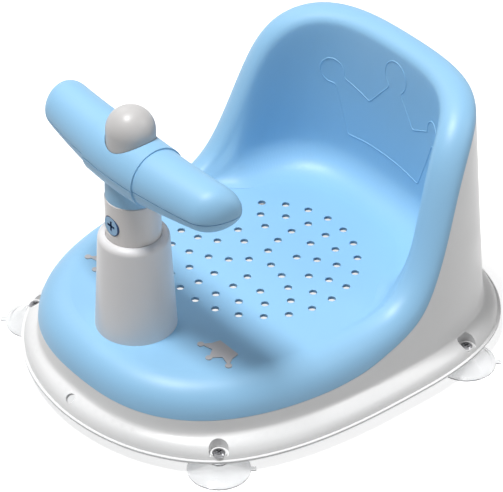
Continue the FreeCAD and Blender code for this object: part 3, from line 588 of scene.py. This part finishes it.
@dataclass(frozen=True)
class PlatedMetal(Finish):
    """Plated screw metal with turning marks."""

    smoothest: float = 0.10
    roughest: float = 0.24
    cloud_share: float = 0.8
    cloud_amount: float = 0.5
    clouds: float = 220.0
    mark_amount: float = 0.2
    marks: float = 500.0
    bump: float = 0.04
    bump_high: float = 0.2 * MM

    def shader(self, tree: Tree) -> Node:
        """Builds plated metal.

        Args:
            tree: The material's tree.

        Returns:
            The shader node.
        """
        cloud = ResinCloud.use(
            tree, Colour=rgba(self.colour), Deep=rgba(dimmed(self.colour, self.cloud_share)),
            Amount=self.cloud_amount, Clouds=self.clouds)
        lines = TurnedLines.use(tree, Smoothest=self.smoothest, Roughest=self.roughest)
        marked = HandlingMarks.use(
            tree, Roughness=lines.outputs["Roughness"], Amount=self.mark_amount,
            Scale=self.marks)
        normal = tree.bump(lines.outputs["Height"], self.bump, self.bump_high)
        return tree.feed(
            tree.add("ShaderNodeBsdfPrincipled"), Base_Color=cloud.outputs["Colour"],
            Metallic=1.0, Roughness=marked.outputs["Roughness"], Normal=normal)


SEAT_BLUE = Moulded(
    "seat_blue_satin", from_screen(147, 197, 232), from_screen(142, 193, 230),
    smoothest=0.42, roughest=0.48)
GUARD_BLUE = Moulded(
    "guard_blue_satin", from_screen(147, 197, 232), from_screen(142, 193, 230),
    smoothest=0.46, roughest=0.5)
SKIRT_WHITE = Moulded(
    "skirt_white_satin", from_screen(232, 232, 232), from_screen(224, 225, 226),
    smoothest=0.28, roughest=0.38)
POST_WHITE = Moulded(
    "post_white_satin", from_screen(228, 226, 226), from_screen(219, 218, 219),
    smoothest=0.3, roughest=0.32)
COLLAR_GREY = Moulded(
    "collar_warm_grey", from_screen(222, 218, 216), from_screen(213, 210, 208),
    smoothest=0.28, roughest=0.3)
BEAD_GREY = Moulded(
    "bead_warm_grey", from_screen(200, 198, 197), from_screen(192, 190, 189),
    smoothest=0.36, roughest=0.39, bump=0.01)
CROWN_TINT = Moulded(
    "crown_pale_grey", from_screen(190, 187, 188), from_screen(178, 175, 177),
    smoothest=0.4, roughest=0.5, bump=0.05)
SCREW_BLUE = Moulded(
    "lock_screw_blue", from_screen(128, 178, 218), from_screen(118, 170, 212),
    smoothest=0.24, roughest=0.34, bump=0.05)
# Painted shade: a darker blue for the lock screw's slot and side faces, standing in for the
# shade in the slot and the shadow gap round the head.
SCREW_PAINTED_SHADE = Moulded(
    "lock_screw_painted_shade", from_screen(30, 66, 110), from_screen(24, 56, 98),
    smoothest=0.4, roughest=0.5, bump=0.05)
CUP_CLEAR = ClearVinyl("cup_clear_vinyl", from_screen(236, 237, 238))
SCREW_CHROME = PlatedMetal("screw_bright_plating", from_screen(164, 164, 167))
SCREW_STEEL = PlatedMetal(
    "screw_zinc_plating", from_screen(176, 176, 178), smoothest=0.25, roughest=0.4)


def piece_from(name: str, mesh: Mesh, finish: Finish, body: Body) -> Piece:
    """Makes a piece of the scene that rides on a body.

    Args:
        name: The piece's name.
        mesh: Its mesh, in the seat's frame.
        finish: The finish that it gets.
        body: The body that carries it.

    Returns:
        The new object.
    """
    made = bpy.data.objects.new(name, mesh)
    bpy.context.scene.collection.objects.link(made)
    mesh.materials.append(finish.material())
    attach(made, body.value)
    LOG.info("made %s with %d faces", name, len(mesh.polygons))
    return made


def smooth(piece: Piece, shading: Shading) -> None:
    """Smooths the shading of a piece up to an angle.

    Args:
        piece: The piece.
        shading: How its faces meet.
    """
    for face in piece.data.polygons:
        face.use_smooth = True
    bpy.context.view_layer.objects.active = piece
    with bpy.context.temp_override(object=piece, active_object=piece, selected_objects=[piece],
                                   selected_editable_objects=[piece]):
        bpy.ops.object.shade_smooth_by_angle(angle=shading.value)


def dress(node: str, finish: Finish, shading: Shading = Shading.MOULDED) -> Piece:
    """Gives a CAD node its finish and its shading.

    Args:
        node: The node's name.
        finish: The finish that it gets.
        shading: How its faces meet.

    Returns:
        The node's object.
    """
    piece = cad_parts[node]
    piece.data.materials.clear()
    piece.data.materials.append(finish.material())
    smooth(piece, shading)
    LOG.info("dressed %s", node)
    return piece


def mesh_from(name: str, verts: Sequence[Vector], faces: Sequence[Sequence[int]]) -> Mesh:
    """Makes a mesh from corners and faces.

    Args:
        name: The mesh's name.
        verts: Its corners.
        faces: The corners of each face, by number.

    Returns:
        The mesh.
    """
    mesh = bpy.data.meshes.new(name)
    mesh.from_pydata([tuple(corner) for corner in verts], [], [tuple(face) for face in faces])
    mesh.update()
    return mesh


@dataclass
class Net:
    """Corners and faces that several shapes are gathered in."""

    verts: list[Vector] = field(default_factory=list)
    faces: list[list[int]] = field(default_factory=list)

    def loop(self, rows: Sequence[Sequence[Vector]]) -> None:
        """Adds a tube that closes on itself, from rows of points round it.

        Args:
            rows: Rows with the same number of points.
        """
        start = len(self.verts)
        count = len(rows[0])
        for row in rows:
            self.verts.extend(row)
        for low in range(len(rows)):
            high = (low + 1) % len(rows)
            for index in range(count):
                after = (index + 1) % count
                self.faces.append([
                    start + low * count + index, start + low * count + after,
                    start + high * count + after, start + high * count + index])

    def turned(self, centre: Vector, profile: Sequence[tuple[float, float]],
               steps: int) -> None:
        """Adds a closed turned ring about an upright axis.

        Args:
            centre: Point on the axis at height 0 of the profile.
            profile: Radius and height of each corner of the closed section.
            steps: Faces round the axis.
        """
        rows = []
        for step in range(steps):
            angle = 2 * math.pi * step / steps
            outward = Vector((math.cos(angle), math.sin(angle), 0))
            rows.append(
                [centre + outward * radius + Vector((0, 0, up)) for radius, up in profile])
        self.loop(rows)

    def mesh(self, name: str) -> Mesh:
        """Makes a mesh with its faces turned outwards.

        Args:
            name: The mesh's name.

        Returns:
            The mesh.
        """
        made = mesh_from(name, self.verts, self.faces)
        work = bmesh.new()
        work.from_mesh(made)
        bmesh.ops.recalc_face_normals(work, faces=work.faces)
        work.to_mesh(made)
        work.free()
        return made


def surface_of(node: str) -> BVHTree:
    """Gives a search tree over a CAD node's faces.

    Args:
        node: The node's name.

    Returns:
        The search tree.
    """
    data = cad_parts[node].data
    return BVHTree.FromPolygons(
        [corner.co for corner in data.vertices],
        [tuple(face.vertices) for face in data.polygons])


def resampled(corners: Sequence[Vector], step: float, rounds: int) -> list[Vector]:
    """Walks a closed line in even steps.

    Args:
        corners: The line's corners.
        step: Distance between points.
        rounds: How often each point moves towards its neighbours.

    Returns:
        Points along the line, with its corners slightly rounded.
    """
    points: list[Vector] = []
    for index, start in enumerate(corners):
        way = corners[(index + 1) % len(corners)] - start
        pieces = max(1, round(way.length / step))
        points.extend(start + way * (number / pieces) for number in range(pieces))
    for _ in range(rounds):
        points = [
            (point + (points[index - 1] + points[(index + 1) % len(points)]) / 2) / 2
            for index, point in enumerate(points)]
    return points


@dataclass
class SeatShell:
    """Blue shell: its finish, the rolled edges of its drain holes and the raised crown.

    Each ring of drain holes is their number and a phase, as a share of a full turn.
    The crown is drawn in millimetres along the backrest and up, and each of its
    balls is a place along, a height and a radius.
    """

    widest_back: float = 24 * MM
    floor_top: float = 63 * MM
    drain_centre: float = 8.5 * MM
    drain_radius: float = 3.1 * MM
    drain_inner: float = 10.7 * MM
    drain_pitch: float = 15.65 * MM
    drain_steps: int = 28
    drain_rings: tuple[tuple[int, float], ...] = (
        (3, -0.008), (6, -0.017), (12, 0.050), (18, 0.006), (24, 0.017))
    edge_round: float = 0.5 * MM
    edge_steps: int = 4
    edge_proud_share: float = 0.16
    edge_inward_share: float = 0.1
    edge_outer_share: float = 1.2
    edge_outer_low_share: float = 0.4
    edge_deep_share: float = 1.8
    crown_line: float = 1.0 * MM
    crown_step: float = 1.5 * MM
    crown_high: float = 0.4 * MM
    crown_inside: float = 60 * MM
    crown_bend: float = 128 * MM
    crown_balls: tuple[tuple[float, float, float], ...] = (
        (-66, 157, 11.5), (8, 181, 14.0), (66, 157, 11.5))
    crown_valleys: tuple[tuple[float, float], ...] = ((-26, 143), (32, 143))
    crown_corners: tuple[tuple[float, float], ...] = ((-50, 101), (40, 96))
    crown_neck: float = math.radians(30)
    crown_base_rise: float = 3.0
    crown_base_steps: int = 4
    crown_ball_steps: int = 24
    crown_line_steps: int = 6
    crown_rounds: int = 3

    def build(self) -> None:
        """Dresses the shell and adds its details."""
        dress("seat_shell", SEAT_BLUE)
        self.drain_edges()
        self.raised_crown()

    def drain_places(self) -> list[Vector]:
        """Gives the centre of each drain hole on the floor's top.

        Returns:
            The centres, ring by ring from the middle.
        """
        places = []
        for ring, (count, phase) in enumerate(self.drain_rings):
            reach = self.drain_inner + ring * self.drain_pitch
            for number in range(count):
                turn = 2 * math.pi * (number / count + phase)
                places.append(Vector((
                    reach * math.cos(turn), self.drain_centre + reach * math.sin(turn),
                    self.floor_top)))
        return places

    def edge_section(self) -> list[tuple[float, float]]:
        """Draws the section of a drain hole's edge.

        Returns:
            Radius and height above the floor's top of each corner.
        """
        edge = self.edge_round
        deep = -self.edge_deep_share * edge
        inward = self.edge_inward_share * edge
        section = [(
            self.drain_radius + self.edge_outer_share * edge,
            -self.edge_outer_low_share * edge)]
        for step in range(self.edge_steps + 1):
            turn = math.pi / 2 * step / self.edge_steps
            section.append((
                self.drain_radius + edge - (edge + inward) * math.sin(turn),
                self.edge_proud_share * edge - edge * (1 - math.cos(turn))))
        section.append((self.drain_radius - inward, deep))
        section.append((self.drain_radius + edge, deep))
        return section

    def drain_edges(self) -> None:
        """Adds the rounded edge that each drain hole has at the floor's top."""
        net = Net()
        section = self.edge_section()
        for centre in self.drain_places():
            net.turned(centre, section, self.drain_steps)
        rims = piece_from(
            "drain_hole_edges", net.mesh("drain_hole_edges"), SEAT_BLUE, Body.SEAT)
        smooth(rims, Shading.SOFT)

    def crown_path(self) -> list[Vector]:
        """Draws a plain three-point crown with ball tips.

        Returns:
            A closed line of distance along the backrest and height, in metres.
        """
        line: list[Vector] = []
        left, right = (Vector(corner) for corner in self.crown_corners)
        stops = [left, *(Vector(valley) for valley in self.crown_valleys), right]
        for ball, before, after in zip(self.crown_balls, stops, stops[1:]):
            line.append(before)
            line.extend(self.ball_arc(Vector(ball[:2]), ball[2], before, after))
        for step in range(self.crown_base_steps):
            share = step / self.crown_base_steps
            bow = 4 * share * (1 - share)
            line.append(right.lerp(left, share) + Vector((0, self.crown_base_rise * bow)))
        return [point * MM for point in line]

    def ball_arc(self, centre: Vector, radius: float, before: Vector,
                 after: Vector) -> list[Vector]:
        """Draws a ball's outline, open at the neck that joins it to the crown.

        Args:
            centre: The ball's centre.
            radius: The ball's radius.
            before: The stop that the line comes from.
            after: The stop that the line goes to.

        Returns:
            Points round the ball, clockwise.
        """
        downward = (before - centre).normalized() + (after - centre).normalized()
        start = math.atan2(downward.y, downward.x) - self.crown_neck
        sweep = 2 * (math.pi - self.crown_neck)
        turns = [
            start - sweep * step / self.crown_ball_steps
            for step in range(self.crown_ball_steps + 1)]
        return [centre + radius * Vector((math.cos(turn), math.sin(turn))) for turn in turns]

    def wall_spots(self) -> tuple[list[Vector], list[Vector]]:
        """Lays the crown's line on the backrest's inner wall.

        Returns:
            The points on the wall, and the wall's normal into the seat at each.
        """
        wall = surface_of("seat_shell")
        spots, normals = [], []
        for along, height in resampled(self.crown_path(), self.crown_step, self.crown_rounds):
            turn = math.pi / 2 - along / self.crown_bend
            start = Vector((0, self.widest_back, height))
            aim = Vector((math.cos(turn), math.sin(turn), 0))
            spot, normal, _, _ = wall.ray_cast(start + aim * self.crown_inside, aim)
            spots.append(spot)
            normals.append(-normal if normal.dot(aim) > 0 else normal)
        return spots, normals

    def raised_crown(self) -> None:
        """Adds the crown's thin raised line, half round above the wall."""
        spots, normals = self.wall_spots()
        rows = []
        for index, (spot, normal) in enumerate(zip(spots, normals)):
            ahead = (spots[(index + 1) % len(spots)] - spots[index - 1]).normalized()
            across = ahead.cross(normal).normalized()
            row = []
            for step in range(self.crown_line_steps + 1):
                turn = math.pi * step / self.crown_line_steps
                row.append(
                    spot + across * (self.crown_line / 2 * math.cos(turn))
                    + normal * (self.crown_high * math.sin(turn)))
            row.append(spot - normal * self.crown_high)
            rows.append(row)
        net = Net()
        net.loop(rows)
        ridge = piece_from(
            "backrest_crown_line", net.mesh("backrest_crown_line"), SEAT_BLUE, Body.SEAT)
        smooth(ridge, Shading.SOFT)


@dataclass
class Skirt:
    """White skirt with its screw recesses."""

    def build(self) -> None:
        """Dresses the skirt."""
        dress("base_shell", SKIRT_WHITE)


@dataclass
class Post:
    """White post, the grey collar in it and the lock screw."""

    screw_face_share: float = 0.9
    screw_face_depth: float = 0.3 * MM

    def build(self) -> None:
        """Dresses the post's nodes."""
        dress("post_cone", POST_WHITE, Shading.TURNED)
        dress("post_collar", COLLAR_GREY, Shading.TURNED)
        self.lock_screw()

    def lock_screw(self) -> None:
        """Dresses the lock screw, with painted shade: a darker blue on its slot and side than
        on its face.
        """
        screw = dress("lock_screw", SCREW_BLUE, Shading.TURNED)
        # The second material is painted shade, given to the slot and the side faces.
        screw.data.materials.append(SCREW_PAINTED_SHADE.material())
        front = min(corner.co.y for corner in screw.data.vertices)
        for face in screw.data.polygons:
            forward = face.normal.y < -self.screw_face_share
            on_face = forward and face.center.y < front + self.screw_face_depth
            face.material_index = 0 if on_face else 1


@dataclass
class Guard:
    """T-shaped guard with its hub and grips."""

    shells: tuple[str, ...] = (
        "hub_upper", "hub_lower", "grip_right_upper", "grip_right_lower", "grip_left_upper",
        "grip_left_lower")

    def build(self) -> None:
        """Dresses the guard's shells."""
        for shell in self.shells:
            dress(shell, GUARD_BLUE)


@dataclass
class Bead:
    """Grey bead and its pin."""

    def build(self) -> None:
        """Dresses the bead and its pin."""
        dress("bead", BEAD_GREY, Shading.TURNED)
        dress("bead_spindle", SCREW_STEEL, Shading.TURNED)


@dataclass
class SuctionCups:
    """Four clear cups."""

    cups: tuple[str, ...] = (
        "suction_cup_front_right", "suction_cup_front_left", "suction_cup_back_right",
        "suction_cup_back_left")

    def build(self) -> None:
        """Dresses the cups."""
        for cup in self.cups:
            dress(cup, CUP_CLEAR, Shading.TURNED)


@dataclass
class Fasteners:
    """Screws and nuts, of which only the cups' screws are bright."""

    bright: tuple[str, ...] = ("cup_screws",)
    plain: tuple[str, ...] = ("cup_nuts", "post_screws", "seat_screws", "guard_screws")

    def build(self) -> None:
        """Dresses the fasteners."""
        for group in self.bright:
            dress(group, SCREW_CHROME)
        for group in self.plain:
            dress(group, SCREW_STEEL)


@dataclass
class CrownPads:
    """Pale crowns on the front of the floor."""

    def build(self) -> None:
        """Dresses the two crowns."""
        for side in Side:
            dress("crown_pad_" + side.value, CROWN_TINT)


@dataclass(frozen=True)
class Softbox:
    """A square soft lamp that faces the seat.

    Sizes are in metres and the power is in watts.
    """

    title: str
    place: Place
    width: float
    power: float

    def hang(self, aim: Vector) -> None:
        """Makes the lamp.

        Args:
            aim: The point that it faces.
        """
        data = bpy.data.lights.new(self.title, "AREA")
        data.shape = "SQUARE"
        data.size = self.width
        data.energy = self.power
        made = bpy.data.objects.new(self.title, data)
        bpy.context.scene.collection.objects.link(made)
        made.location = self.place
        made.rotation_euler = (aim - made.location).to_track_quat("-Z", "Y").to_euler()


@dataclass
class Studio:
    """Pale floor, soft lamps over the seat and the camera. Lengths are in metres."""

    lamps: tuple[Softbox, ...] = (
        Softbox("overhead_front_softbox", (-0.30, -1.10, 4.35), 0.9, 192.0),
        Softbox("overhead_softbox", (0.0, 0.0, 1.7), 0.5, 2.0),
        Softbox("left_softbox", (-1.3, 0.1, 1.1), 0.8, 3.0),
        Softbox("right_back_softbox", (1.1, 1.0, 1.2), 0.8, 5.5),
        Softbox("right_low_softbox", (1.3, -0.2, 0.5), 0.8, 0.8))
    lamp_aim: Place = (0.0, 0.0, 0.1)
    backdrop_light: float = 1.0
    world_light: float = 0.02
    floor_colour: Colour = (0.6, 0.6, 0.6)
    floor_glow: float = 0.8
    floor_grain: float = 90.0
    floor_depth: float = 0.2
    floor_smoothest: float = 0.85
    floor_roughest: float = 0.95
    floor_half: float = 6.0
    floor_drop: float = 0.4 * MM
    eye: Place = (1.3901, -1.1406, 1.4158)
    azimuth: float = math.radians(50.7)
    elevation: float = math.radians(36.635)
    focal_px: float = 2914.0
    frame_px: float = 503.0
    sensor_mm: float = 36.0
    nearest: float = 0.05
    farthest: float = 40.0

    def build(self) -> None:
        """Makes the floor, the world, the lamps and the camera."""
        self.floor()
        self.world()
        for lamp in self.lamps:
            lamp.hang(Vector(self.lamp_aim))
        self.camera()

    def floor(self) -> None:
        """Makes a white floor that shows white to the camera and keeps the shadow."""
        half = self.floor_half
        mesh = mesh_from("studio_floor", [
            Vector((-half, -half, 0)), Vector((half, -half, 0)), Vector((half, half, 0)),
            Vector((-half, half, 0))], [(0, 1, 2, 3)])
        piece = bpy.data.objects.new("studio_floor", mesh)
        piece.location.z = -self.floor_drop
        bpy.context.scene.collection.objects.link(piece)
        mesh.materials.append(self.floor_paint())

    def floor_paint(self) -> bpy.types.Material:
        """Makes the floor's paint, which glows for seen rays only.

        Returns:
            The material.
        """
        made = bpy.data.materials.new("studio_white")
        tree = emptied(made)
        grain = MouldGrain.use(
            tree, Grain=self.floor_grain, Depth=self.floor_depth,
            Smoothest=self.floor_smoothest, Roughest=self.floor_roughest)
        paint = tree.feed(
            tree.add("ShaderNodeBsdfDiffuse"), Color=rgba(self.floor_colour),
            Roughness=grain.outputs["Roughness"])
        glow = tree.feed(
            tree.add("ShaderNodeEmission"), Color=WHITE,
            Strength=tree.seen_strength(self.floor_glow))
        both = tree.add("ShaderNodeAddShader")
        tree.put(both.inputs[0], paint.outputs[0])
        tree.put(both.inputs[1], glow.outputs[0])
        tree.feed(tree.add("ShaderNodeOutputMaterial"), Surface=both.outputs[0])
        return made

    def world(self) -> None:
        """Makes a white world that adds only a weak light."""
        world = bpy.data.worlds.new("studio_world")
        bpy.context.scene.world = world
        tree = emptied(world)
        back = tree.feed(
            tree.add("ShaderNodeBackground"), Color=WHITE,
            Strength=tree.seen_strength(self.backdrop_light, self.world_light))
        tree.feed(tree.add("ShaderNodeOutputWorld"), Surface=back.outputs[0])

    def camera(self) -> None:
        """Makes the camera at the photograph's viewing angle."""
        data = bpy.data.cameras.new("studio_camera")
        data.sensor_width = self.sensor_mm
        data.lens = self.focal_px / self.frame_px * self.sensor_mm
        data.clip_start = self.nearest
        data.clip_end = self.farthest
        made = bpy.data.objects.new("studio_camera", data)
        bpy.context.scene.collection.objects.link(made)
        level = Vector((-math.sin(self.azimuth), math.cos(self.azimuth), 0))
        ahead = level * math.cos(self.elevation) - Vector((0, 0, math.sin(self.elevation)))
        right = Vector((math.cos(self.azimuth), math.sin(self.azimuth), 0))
        up = right.cross(ahead)
        turn = Matrix((right, up, -ahead)).transposed().to_4x4()
        made.matrix_world = Matrix.Translation(Vector(self.eye)) @ turn
        bpy.context.scene.camera = made


class Assembly(Protocol):
    """A part of the scene that builds itself."""

    def build(self) -> None:
        """Makes and dresses the part's pieces."""


def assemblies() -> list[Assembly]:
    """Gives the scene's parts in the order in which they are built."""
    return [
        Studio(), SeatShell(), Skirt(), Post(), Guard(), Bead(), SuctionCups(), Fasteners(),
        CrownPads()]


def main() -> None:
    """Builds the scene."""
    logging.basicConfig(level=logging.INFO, format="%(name)s: %(message)s")
    bpy.context.scene.view_settings.view_transform = "Standard"
    for part in assemblies():
        LOG.info("building %s", type(part).__name__)
        part.build()
    bpy.context.view_layer.update()


if __name__ == "__main__":
    main()
